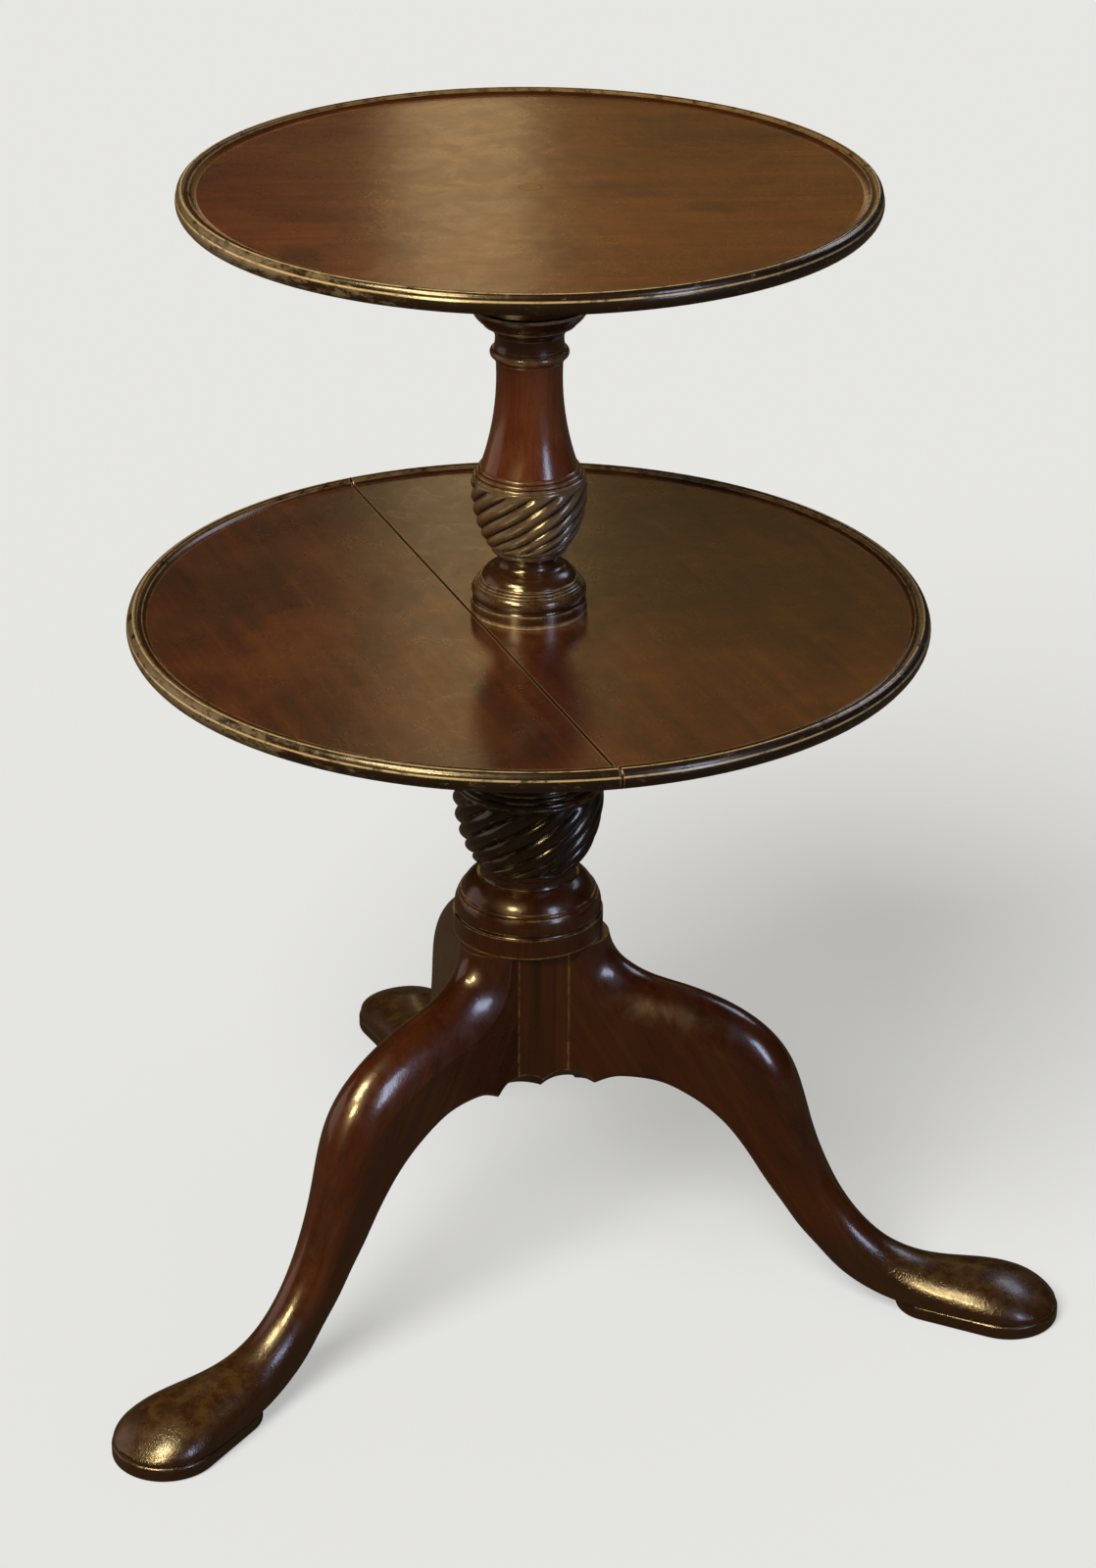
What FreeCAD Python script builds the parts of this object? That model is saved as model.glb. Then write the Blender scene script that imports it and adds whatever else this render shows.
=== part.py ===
import FreeCAD, Part
import math
import os

# Two-tier mahogany dumbwaiter table, in millimetres, +Z up, origin on the column axis at the floor.
# Two dished trays turn about one upright of turned and spirally reeded wood, on three cabriole legs.

# Driving dimensions of the whole table
lower_tray_radius = 307.5
upper_tray_radius = 258.7
lower_surface_height = 578.5
upper_surface_height = 912.0
leg_count = 3
first_leg_angle = 90.0
foot_reach = 440.0

# Fits
running_gap = 0.2
bore_clearance = 0.3
glue_gap = 0.1

# Trays: board, moulded rim and the joint between the lower tray's two boards
board_thickness = 12.5
rim_width = 15.2
rim_rise = 4.0
rim_drop = 11.0
rim_undercut = 2.5
underside_taper_width = 42.0
seam_offset = 45.1
seam_angle = 4.4

# Upright: radii of the urns, spindle and pins
upper_urn_radius = 44.4
lower_urn_radius = 59.5
reed_count = 14
reed_angle = 32.0
upper_platform_radius = 72.0
lower_platform_radius = 76.0
journal_radius = 14.0
spindle_radius = 11.0
spindle_depth = 46.0
pin_radius = 8.6
pin_depth = 42.0

# Pillar block under the lower urn, and the dovetails that hold the legs
block_bottom_height = 178.0
block_top_height = 304.0
block_face_reach = 45.3
leg_width = 58.0
scallop_radius = 28.0
scallop_sink = 22.0
scallop_slope = 40.0
dovetail_depth = 20.0
dovetail_neck_width = 17.0
dovetail_root_width = 25.0
dovetail_stop_drop = 14.0

# Feet
pad_height = 12.5
pad_toe_radius = 42.0
pad_heel_radius = 30.0
pad_length = 131.0
pad_rounding = 3.0

overrun = 5.0
vertical = FreeCAD.Vector(0, 0, 1)
origin = FreeCAD.Vector(0, 0, 0)


def point(radius, height, across=0.0):
    """A point in the upright plane through the axis, or beside it by the distance across."""
    return FreeCAD.Vector(radius, across, height)


class Turning:
    """Half outline of a turned piece, climbed member by member from its lowest ring."""

    def __init__(self, radius, height):
        self.start = (radius, height)
        self.radius = radius
        self.height = height
        self.edges = []

    def run(self, radius, height, bulge=0.0):
        """Go on to a radius and height, straight or along an arc that bulges outward.

        The arc is kept as a spline: an arc whose centre lies past the axis would spin into a
        surface that crosses itself.
        """
        first = point(self.radius, self.height)
        last = point(radius, height)
        if first.distanceToPoint(last) > 0:
            if bulge:
                chord = last - first
                outward = FreeCAD.Vector(chord.z, 0, -chord.x).normalize()
                middle = (first + last) * 0.5 + outward * bulge
                self.edges.append(Part.Arc(first, middle, last).toBSpline().toShape())
            else:
                self.edges.append(Part.LineSegment(first, last).toShape())
        self.radius = radius
        self.height = height

    def members(self, rows, size, length):
        """Stack members given as shares: start radius, rise along the length, end radius, bulge."""
        for start_share, rise_share, end_share, bulge_share in rows:
            self.run(start_share * size, self.height)
            self.run(end_share * size, self.height + rise_share * length, bulge_share * size)

    def solid(self, bore=0.0):
        """Close the outline on the axis, or on a bore, and spin it."""
        self.run(bore, self.height)
        self.run(bore, self.start[1])
        self.run(*self.start)
        face = Part.Face(Part.Wire(self.edges))
        return face.revolve(origin, vertical, 360)


def rod(radius, bottom, top):
    """An upright cylinder on the axis."""
    return Part.makeCylinder(radius, top - bottom, point(0, bottom))


def turned(shape, angle):
    """A copy turned about the axis."""
    copy = shape.copy()
    copy.rotate(origin, vertical, angle)
    return copy


def mirrored(shape):
    """A copy mirrored in the upright plane through the axis."""
    return shape.mirror(origin, FreeCAD.Vector(0, 1, 0))


# Trays. Shares are of the rim's width inward from the edge, and of its rise above the surface.
upper_roll_share = 0.40
lower_roll_share = 0.54
widest_drop_share = 0.60
rim_fillet_share = 0.35
ovolo_inset_share = 0.04
ovolo_bulge_share = 0.07
crest_share = 0.62
roll_fall_share = 0.25
quirk_share = 0.09
quirk_depth_share = 0.72
bead_share = 0.16
bead_height_share = 0.66
bead_bulge_share = 0.03
lip_bulge_share = 0.08
cove_bulge_share = 0.02


def dished_tray(tray_radius, surface_height, bore_radius, roll_share):
    """A turned tray: flat field, shallow cove, bead and quirk, then a roll over the tapered lip."""
    underside = surface_height - board_thickness
    widest = surface_height - rim_rise * widest_drop_share
    crest = surface_height + rim_rise
    quirk = crest - rim_rise * quirk_depth_share
    roll = rim_width * roll_share
    outline = Turning(tray_radius - underside_taper_width, underside)
    outline.run(tray_radius - rim_undercut, surface_height - rim_drop)
    outline.run(tray_radius, widest, rim_width * lip_bulge_share)
    outline.run(tray_radius - rim_width * ovolo_inset_share, widest + rim_rise * rim_fillet_share)
    outline.run(tray_radius - roll * crest_share, crest, rim_width * ovolo_bulge_share)
    outline.run(tray_radius - roll, crest - rim_rise * roll_fall_share, rim_width * cove_bulge_share)
    outline.run(tray_radius - roll, quirk)
    quirk_end = tray_radius - roll - rim_width * quirk_share
    outline.run(quirk_end, quirk)
    bead_top = surface_height + rim_rise * bead_height_share
    outline.run(quirk_end - rim_width * bead_share, bead_top, rim_width * bead_bulge_share)
    outline.run(tray_radius - rim_width, surface_height, -rim_width * cove_bulge_share)
    outline.run(bore_radius, surface_height)
    outline.run(bore_radius, underside)
    outline.run(*outline.start)
    face = Part.Face(Part.Wire(outline.edges))
    return face.revolve(origin, vertical, 360)


def tray_boards(tray):
    """The lower tray's two boards, parted at the upright glue joint that runs across it."""
    span = 2 * lower_tray_radius
    corner = FreeCAD.Vector(-seam_offset, -span, 0)
    broad_half = Part.makeBox(2 * span, 2 * span, upper_surface_height, corner)
    broad_half.rotate(origin, vertical, seam_angle)
    return tray.common(broad_half), tray.cut(broad_half)


# Reeded urns. The crest line swells from the neck to the fullest ring and rounds in under the beads.
fullest_share = 0.86
swell_power_share = 0.60
urn_top_share = 0.97
urn_seat_share = 0.99
reed_depth_share = 0.068
reed_fade_share = 0.10
urn_ring_count = 22


def crest_radius(urn_radius, foot_share, rise_share):
    """Radius over the crests of the reeds, at a share of the urn's height."""
    foot = foot_share * urn_radius
    if rise_share < fullest_share:
        swell = math.sin(math.pi / 2 * rise_share / fullest_share) ** swell_power_share
        return foot + (urn_radius - foot) * swell
    past = (rise_share - fullest_share) / (1 - fullest_share)
    return urn_radius - (1 - urn_top_share) * urn_radius * past ** 2


def reeded_ring(crest, depth, height, twist):
    """One section of the urn: a convex arc for each reed, meeting in sharp valleys."""
    edges = []
    pitch = 2 * math.pi / reed_count
    for index in range(reed_count):
        angles = [twist + pitch * (index + part) for part in (0, 0.5, 1)]
        radii = (crest - depth, crest, crest - depth)
        points = [point(r * math.cos(a), height, r * math.sin(a)) for r, a in zip(radii, angles)]
        edges.append(Part.Arc(*points).toShape())
    return Part.Wire(edges)


def reeded_urn(urn_radius, foot_share, bottom, height):
    """Spirally reeded urn: the reeds climb at a steady slope and fade out at both ends."""
    rings = []
    twist = 0.0
    crest_before = crest_radius(urn_radius, foot_share, 0)
    for index in range(urn_ring_count + 1):
        rise_share = index / urn_ring_count
        crest = crest_radius(urn_radius, foot_share, rise_share)
        if index:
            slant = math.hypot(height / urn_ring_count, crest - crest_before)
            twist += slant / (0.5 * (crest + crest_before) * math.tan(math.radians(reed_angle)))
        fade = min(1.0, rise_share / reed_fade_share, (1 - rise_share) / reed_fade_share)
        depth = crest * reed_depth_share * fade
        rings.append(reeded_ring(crest, depth, bottom + height * rise_share, twist))
        crest_before = crest
    return Part.makeLoft(rings, True, False)


# Turned members: start radius, rise, end radius and outward bulge, as shares of the urn's radius,
# but for the rise, which is a share of the column's length.
upper_urn_foot_share = 0.66
upper_urn_rise_share = 0.1694
upper_bell_rise_share = 0.1290
upper_edge_rise_share = 0.0245
upper_base_shares = (
    (1.005, 0.0328, 1.005, 0.000),
    (0.975, 0.0106, 0.975, -0.014),
    (0.977, 0.0243, 0.941, 0.030),
    (0.928, 0.0069, 0.905, 0.012),
    (0.892, 0.0062, 0.869, 0.012),
    (0.854, 0.0062, 0.831, 0.012),
    (0.820, 0.0268, 0.597, 0.034),
    (0.597, 0.0187, 0.523, -0.022),
    (0.523, 0.0172, 0.560, -0.012),
    (0.608, 0.0170, 0.656, 0.026),
)
upper_shoulder_shares = (
    (0.965, 0.0103, 0.940, 0.016),
    (0.922, 0.0103, 0.890, 0.016),
    (0.872, 0.0103, 0.838, 0.016),
)
upper_capital_shares = (
    (0.585, 0.0087, 0.625, -0.010),
    (0.625, 0.0225, 0.625, 0.048),
    (0.610, 0.0047, 0.605, 0.000),
    (0.600, 0.0312, 0.592, -0.012),
    (0.600, 0.0234, 0.760, -0.022),
    (0.790, 0.0062, 0.800, 0.000),
    (0.820, 0.0328, 1.000, 0.022),
    (1.020, 0.0068, 1.020, 0.000),
    (0.985, 0.0768, 1.310, -0.050),
    (1.350, 0.0068, 1.350, 0.000),
)
upper_shaft_shares = (0.828, 0.570, -0.090)
bell_step_share = 0.04
bell_bulge_share = -0.08

lower_urn_foot_share = 0.67
lower_urn_rise_share = 0.2540
lower_bell_rise_share = 0.0607
lower_edge_rise_share = 0.0420
lower_base_shares = (
    (1.005, 0.0630, 1.005, 0.000),
    (0.975, 0.0115, 0.975, -0.010),
    (0.980, 0.0458, 0.938, 0.016),
    (0.925, 0.0134, 0.905, 0.010),
    (0.893, 0.0535, 0.680, 0.028),
    (0.645, 0.0267, 0.625, -0.010),
    (0.640, 0.0210, 0.667, 0.022),
)
lower_shoulder_shares = (
    (0.955, 0.0170, 0.930, 0.016),
    (0.915, 0.0170, 0.885, 0.016),
    (0.870, 0.0170, 0.830, 0.016),
)
lower_capital_shares = (
    (0.590, 0.0093, 0.620, -0.010),
    (0.625, 0.0326, 0.625, 0.035),
    (0.600, 0.0420, 0.595, -0.010),
    (0.640, 0.0117, 0.640, 0.000),
    (0.665, 0.0513, 0.910, 0.030),
    (0.935, 0.0093, 0.935, 0.000),
)
lower_shaft_shares = (0.80, 0.570, -0.060)


def rise_of(rows):
    """Share of the column's length that a stack of members takes."""
    return sum(row[1] for row in rows)


def upright(bottom, top, urn_radius, platform_radius, foot_share, rise_shares, members):
    """Turned base, reeded urn and the shaft, ring, capital and platform over it, still apart."""
    length = top - bottom
    base, shoulder, shaft, capital = members
    shaft_start, shaft_end, shaft_bulge = [share * urn_radius for share in shaft]
    urn_height, bell_rise, edge_rise = [share * length for share in rise_shares]
    foot = Turning(base[0][0] * urn_radius, bottom)
    foot.members(base, urn_radius, length)
    urn_bottom = foot.height
    foot.run(urn_seat_share * foot_share * urn_radius, urn_bottom)
    urn = reeded_urn(urn_radius, foot_share, urn_bottom, urn_height)

    head = Turning(urn_seat_share * urn_top_share * urn_radius, urn_bottom + urn_height)
    head.members(shoulder, urn_radius, length)
    platform_bottom = top - edge_rise
    bell_bottom = platform_bottom - bell_rise
    step = bell_step_share * urn_radius
    head.run(shaft_start, head.height)
    head.run(shaft_end, bell_bottom - rise_of(capital) * length, shaft_bulge)
    head.members(capital, urn_radius, length)
    head.run(head.radius - step, head.height)
    head.run(platform_radius - step, platform_bottom, bell_bulge_share * urn_radius)
    head.run(platform_radius, platform_bottom)
    head.run(platform_radius, top, step)
    return [foot.solid(), urn, head.solid()]


def bored(solids, holes):
    """The same solids with every hole cut from each."""
    for hole in holes:
        solids = [solid.cut(hole) for solid in solids]
    return solids


def upper_column():
    """Upright of the upper tray: it stands on the spindle's shoulder, just clear of the lower tray."""
    bottom = lower_surface_height + running_gap
    top = upper_surface_height - board_thickness - running_gap
    rise_shares = (upper_urn_rise_share, upper_bell_rise_share, upper_edge_rise_share)
    members = (upper_base_shares, upper_shoulder_shares, upper_shaft_shares, upper_capital_shares)
    solids = upright(bottom, top, upper_urn_radius, upper_platform_radius, upper_urn_foot_share,
                     rise_shares, members)
    spindle_hole = rod(spindle_radius + glue_gap, bottom - overrun, bottom + spindle_depth + glue_gap)
    pin_hole = rod(pin_radius + glue_gap, top - pin_depth - glue_gap, top + overrun)
    foot, urn, head = bored(solids, [spindle_hole, pin_hole])
    return foot.fuse(urn).fuse(head)


def upper_pivot_pin():
    """Pale dowel glued in the upper column; its end shows flush in the middle of the tray."""
    top = upper_surface_height - board_thickness - running_gap
    return rod(pin_radius, top - pin_depth, upper_surface_height)


def lower_spindle():
    """Turned spindle: a journal for the lower tray between two glued tenons."""
    journal_bottom = lower_surface_height - board_thickness - running_gap
    journal_top = lower_surface_height + running_gap
    tenons = rod(spindle_radius, journal_bottom - spindle_depth, journal_top + spindle_depth)
    return tenons.fuse(rod(journal_radius, journal_bottom, journal_top))


# Pillar block and its joints with the legs
leg_face_reach = 2 * block_face_reach - leg_width * math.sin(math.radians(60))
leg_angles = [first_leg_angle + index * 360.0 / leg_count for index in range(leg_count)]


def dovetail(side_gap, stop):
    """A leg's dovetail, open at the bottom, as wide at its root as it is held in the pillar."""
    neck = dovetail_neck_width / 2 + side_gap
    root = dovetail_root_width / 2 + side_gap
    inner = leg_face_reach - dovetail_depth - side_gap
    corners = [
        point(leg_face_reach, block_bottom_height, -neck),
        point(leg_face_reach, block_bottom_height, neck),
        point(inner, block_bottom_height, root),
        point(inner, block_bottom_height, -root),
    ]
    face = Part.Face(Part.makePolygon(corners + corners[:1]))
    return face.extrude(vertical * (stop - block_bottom_height))


def scallop():
    """Sloping round notch under the corner where the block's face meets the leg's side."""
    bisector = math.radians(0.5 * (90.0 + 180.0 / leg_count))
    slope = math.radians(scallop_slope)
    level = math.cos(slope)
    outward = FreeCAD.Vector(level * math.cos(bisector), level * math.sin(bisector), math.sin(slope))
    corner = point(leg_face_reach, block_bottom_height - scallop_sink, leg_width / 2)
    start = corner - outward * (2 * scallop_radius)
    return Part.makeCylinder(scallop_radius, 4 * scallop_radius, start, outward)


def scallops():
    notch = scallop()
    return [notch, mirrored(notch)]


def block():
    """Six-sided block under the lower urn, with a dovetail socket and a pair of scallops per leg."""
    corners = []
    for angle in leg_angles:
        for side in (-leg_width / 2, leg_width / 2):
            corner = point(leg_face_reach, block_bottom_height, side)
            corners.append(turned(Part.Vertex(corner), angle).Point)
    prism = Part.Face(Part.makePolygon(corners + corners[:1]))
    prism = prism.extrude(vertical * (block_top_height - block_bottom_height))
    socket_top = block_top_height - dovetail_stop_drop + glue_gap
    for angle in leg_angles:
        prism = prism.cut(turned(dovetail(glue_gap, socket_top), angle))
        for notch in scallops():
            prism = prism.cut(turned(notch, angle))
    return prism


def pillar():
    """Lower upright, from the leg block to the platform under the lower tray."""
    top = lower_surface_height - board_thickness - running_gap
    rise_shares = (lower_urn_rise_share, lower_bell_rise_share, lower_edge_rise_share)
    members = (lower_base_shares, lower_shoulder_shares, lower_shaft_shares, lower_capital_shares)
    solids = upright(block_top_height, top, lower_urn_radius, lower_platform_radius,
                     lower_urn_foot_share, rise_shares, members)
    spindle_hole = rod(spindle_radius + glue_gap, top - spindle_depth - glue_gap, top + overrun)
    foot, urn, head = bored(solids, [spindle_hole])
    return foot.fuse(block()).fuse(urn).fuse(head)


# Cabriole leg. Each station gives the ridge and the underside: how far out, as a share of the way
# from the block's face to the toe, and how high, as a share of the rise from the foot pad to the
# block's top for the ridge, and to its bottom for the underside. Then come the half width as a share
# of the leg's width, the arch's drop as a share of the section's depth, the lower corners' radius as
# a share of what is left below the arch, and how far the arch's sides lie back towards the block, as
# a share of the leg's width. The last share closes the arch: creased at 1, a full round at 0.
leg_station_shares = (
    (-0.011, 1.052, -0.011, 0.990, 0.500, 0.057, 0.034, 0.000, 1.0),
    (0.044, 1.052, 0.024, 0.995, 0.500, 0.090, 0.035, 0.160, 1.0),
    (0.064, 0.998, 0.042, 1.010, 0.500, 0.125, 0.042, 0.253, 1.0),
    (0.071, 0.968, 0.054, 1.023, 0.500, 0.172, 0.048, 0.262, 1.0),
    (0.085, 0.938, 0.072, 1.047, 0.500, 0.204, 0.057, 0.284, 1.0),
    (0.104, 0.916, 0.094, 1.069, 0.500, 0.260, 0.071, 0.259, 1.0),
    (0.131, 0.895, 0.121, 1.078, 0.500, 0.301, 0.088, 0.224, 1.0),
    (0.169, 0.878, 0.154, 1.078, 0.497, 0.341, 0.108, 0.155, 1.0),
    (0.224, 0.862, 0.194, 1.063, 0.490, 0.367, 0.124, 0.080, 0.9),
    (0.287, 0.837, 0.231, 1.025, 0.479, 0.381, 0.135, 0.040, 0.8),
    (0.345, 0.801, 0.269, 0.970, 0.466, 0.379, 0.143, 0.015, 0.7),
    (0.394, 0.753, 0.300, 0.909, 0.448, 0.356, 0.148, 0.000, 0.6),
    (0.432, 0.691, 0.324, 0.848, 0.431, 0.347, 0.164, 0.000, 0.5),
    (0.459, 0.609, 0.347, 0.771, 0.410, 0.358, 0.209, 0.000, 0.4),
    (0.479, 0.516, 0.372, 0.674, 0.386, 0.380, 0.279, 0.000, 0.3),
    (0.499, 0.431, 0.402, 0.553, 0.366, 0.407, 0.360, 0.000, 0.2),
    (0.524, 0.351, 0.434, 0.439, 0.348, 0.429, 0.451, 0.000, 0.1),
    (0.554, 0.276, 0.469, 0.318, 0.338, 0.456, 0.524, 0.000, 0.0),
    (0.595, 0.204, 0.510, 0.209, 0.334, 0.475, 0.567, 0.000, 0.0),
    (0.644, 0.146, 0.554, 0.112, 0.352, 0.473, 0.484, 0.000, 0.0),
    (0.705, 0.109, 0.622, 0.031, 0.405, 0.517, 0.389, 0.000, 0.0),
    (0.770, 0.095, 0.713, -0.002, 0.517, 0.645, 0.302, 0.000, 0.0),
    (0.835, 0.095, 0.815, -0.002, 0.647, 0.844, 0.618, 0.000, 0.0),
    (0.884, 0.087, 0.882, -0.002, 0.703, 0.917, 0.900, 0.000, 0.0),
    (0.923, 0.071, 0.923, -0.002, 0.672, 0.907, 0.900, 0.000, 0.0),
    (0.953, 0.051, 0.953, -0.002, 0.578, 0.909, 0.900, 0.000, 0.0),
    (0.978, 0.028, 0.978, -0.002, 0.414, 0.897, 0.900, 0.000, 0.0),
    (0.992, 0.013, 0.992, -0.002, 0.216, 0.821, 0.699, 0.000, 0.0),
)
arch_point_count = 9
corner_point_count = 4
crease_start_angle = 24.0


def smooth_curve(points):
    """A curve through points at even parameters, so that all sections match along the leg."""
    steps = len(points) - 1
    curve = Part.BSplineCurve()
    curve.interpolate(Points=points, Parameters=[index / steps for index in range(len(points))])
    return curve.toShape()


def leg_section(station_shares):
    """Closed outline across the leg: flat sides, rounded lower corners and an arched ridge."""
    ridge_out, ridge_up, under_out, under_up, half, drop, corner, lie_back, crease = station_shares
    way_out = foot_reach - leg_face_reach
    ridge_rise = block_top_height - pad_height
    under_rise = block_bottom_height - pad_height
    ridge = point(leg_face_reach + ridge_out * way_out, pad_height + ridge_up * ridge_rise)
    under = point(leg_face_reach + under_out * way_out, pad_height + under_up * under_rise)
    upward = (ridge - under).normalize()
    across = FreeCAD.Vector(0, 1, 0)
    outward = FreeCAD.Vector(1, 0, 0)
    half_width = half * leg_width
    arch_drop = drop * ridge.distanceToPoint(under)
    shoulder = ridge.distanceToPoint(under) - arch_drop
    corner_radius = corner * shoulder

    def place(side, rise, back=0.0):
        return under + across * side + upward * rise - outward * back

    def corner_curve(side):
        points = []
        for index in range(corner_point_count):
            angle = math.pi / 2 * index / (corner_point_count - 1)
            reach = half_width - corner_radius * (1 - math.sin(angle))
            points.append(place(side * reach, corner_radius * (1 - math.cos(angle))))
        return points

    start = math.radians(crease * crease_start_angle)
    arch = []
    for index in range(arch_point_count):
        angle = start + (math.pi - 2 * start) * index / (arch_point_count - 1)
        side = half_width * math.cos(angle) / math.cos(start)
        rise = arch_drop * (math.sin(angle) - math.sin(start)) / (1 - math.sin(start))
        back = lie_back * leg_width * (side / half_width) ** 2
        arch.append(place(side, shoulder + rise, back))
    right = corner_curve(1)
    left = corner_curve(-1)
    left.reverse()
    edges = [
        Part.LineSegment(left[-1], right[0]).toShape(),
        smooth_curve(right),
        Part.LineSegment(right[-1], arch[0]).toShape(),
        smooth_curve(arch),
        Part.LineSegment(arch[-1], left[0]).toShape(),
        smooth_curve(left),
    ]
    return Part.Wire(edges)


def foot_pad():
    """Flat pad under the foot, a long oval that is widest near the toe."""
    toe_centre = foot_reach - pad_toe_radius
    heel_centre = foot_reach - pad_length + pad_heel_radius
    lean = math.acos((pad_toe_radius - pad_heel_radius) / (toe_centre - heel_centre))

    def rim_point(centre, radius, angle):
        return FreeCAD.Vector(centre + radius * math.cos(angle), radius * math.sin(angle), 0)

    side_angle = math.pi - lean
    toe = [rim_point(toe_centre, pad_toe_radius, angle) for angle in (-side_angle, 0, side_angle)]
    heel = [rim_point(heel_centre, pad_heel_radius, angle) for angle in (side_angle, math.pi, -side_angle)]
    edges = [
        Part.Arc(*toe).toShape(),
        Part.LineSegment(toe[-1], heel[0]).toShape(),
        Part.Arc(*heel).toShape(),
        Part.LineSegment(heel[-1], toe[0]).toShape(),
    ]
    pad = Part.Face(Part.Wire(edges)).extrude(vertical * pad_height)
    level_edges = [edge for edge in pad.Edges if edge.BoundBox.ZLength < pad_height / 2]
    return pad.makeFillet(pad_rounding, level_edges)


def leg():
    """One cabriole leg: hip and collar, dovetail, cabriole sweep and pad foot."""
    sweep = Part.makeLoft([leg_section(row) for row in leg_station_shares], True, False)
    hip_top = block_top_height - glue_gap
    face = leg_face_reach + glue_gap
    span = 2 * foot_reach
    above_hip = Part.makeBox(span, span, span, point(0, hip_top, -span / 2))
    inside_block = Part.makeBox(span, span, span, point(face - span, 0, -span / 2))
    whole = sweep.cut(above_hip).cut(inside_block)
    for notch in scallops():
        whole = whole.cut(notch)
    tenon = dovetail(0, block_top_height - dovetail_stop_drop)
    join_rise = block_top_height - dovetail_stop_drop - block_bottom_height
    join = Part.makeBox(glue_gap, dovetail_neck_width, join_rise,
                        point(leg_face_reach, block_bottom_height, -dovetail_neck_width / 2))
    return whole.fuse(foot_pad()).fuse(join).fuse(tenon)


def build():
    """Every separate piece by its name."""
    pieces = {
        "upper_tray": dished_tray(upper_tray_radius, upper_surface_height, pin_radius + bore_clearance,
                                  upper_roll_share),
        "upper_pivot_pin": upper_pivot_pin(),
        "upper_column": upper_column(),
        "lower_spindle": lower_spindle(),
        "pillar": pillar(),
    }
    lower_tray = dished_tray(lower_tray_radius, lower_surface_height, journal_radius + bore_clearance,
                             lower_roll_share)
    boards = tray_boards(lower_tray)
    pieces["lower_tray_broad_board"] = boards[0]
    pieces["lower_tray_narrow_board"] = boards[1]
    one_leg = leg()
    for name, angle in zip(("leg_back", "leg_front_left", "leg_front_right"), leg_angles):
        pieces[name] = turned(one_leg, angle)
    return pieces


os.makedirs("parts", exist_ok=True)
for name, shape in build().items():
    solid = shape.Solids[0] if len(shape.Solids) == 1 else shape
    print(name, "solids", len(shape.Solids), "valid", shape.isValid(), "volume", round(solid.Volume))
    solid.exportStep("parts/" + name + ".step")
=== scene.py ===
"""A two-tier dumbwaiter table in old French-polished mahogany, dressed as it is put together."""

import math

import bmesh
import bpy
from mathutils import Matrix, Vector

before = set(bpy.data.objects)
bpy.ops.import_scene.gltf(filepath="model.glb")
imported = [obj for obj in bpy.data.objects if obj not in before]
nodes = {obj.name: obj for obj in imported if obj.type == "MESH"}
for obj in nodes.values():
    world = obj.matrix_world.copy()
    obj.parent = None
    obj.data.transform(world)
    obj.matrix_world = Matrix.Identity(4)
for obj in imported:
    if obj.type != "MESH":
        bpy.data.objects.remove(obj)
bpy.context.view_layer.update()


# The pillar. One turned length of mahogany: the six-sided block that the legs are let into, the rings
# above it, and the lower urn with its spiral reeds. The urn is darkened nearly black, and the hollows
# of its deep reeds darker still, with dust and painted shade.

def linear(colour):
    """An sRGB hex colour as Blender's linear one."""
    parts = [int(colour[i:i + 2], 16) / 255 for i in (1, 3, 5)]
    return [p / 12.92 if p <= 0.04045 else ((p + 0.055) / 1.055) ** 2.4 for p in parts] + [1.0]


def add(tree, kind, sockets, out=0, **settings):
    """Adds a node, links or sets its sockets, and gives back one of its outputs."""
    made = tree.nodes.new("ShaderNode" + kind)
    for name, value in settings.items():
        setattr(made, name, value)
    for name, value in sockets.items():
        if isinstance(value, bpy.types.NodeSocket):
            tree.links.new(value, made.inputs[name])
        else:
            made.inputs[name].default_value = value
    return made.outputs[out]


def laid_over(tree, colour, shade, share, amount):
    """A colour with a shade laid over it, as strongly as the share times the amount."""
    part = add(tree, "Math", {0: share, 1: amount}, operation="MULTIPLY")
    return add(tree, "Mix", {0: part, 6: colour, 7: linear(shade)}, 2, data_type="RGBA")


def spread(tree, place, across, along, turn=(0.0, 0.0, 0.0), **noise):
    """Noise whose blots are so many metres across and so many along the grain, which runs up Z
    before it is turned."""
    turned = add(tree, "Mapping", {"Vector": place, "Rotation": turn}, vector_type="TEXTURE")
    sized = add(tree, "Mapping", {"Vector": turned, "Scale": (1 / across, 1 / across, 1 / along)})
    return add(tree, "TexNoise", {"Vector": sized, "Scale": 1.0, **noise})


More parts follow.
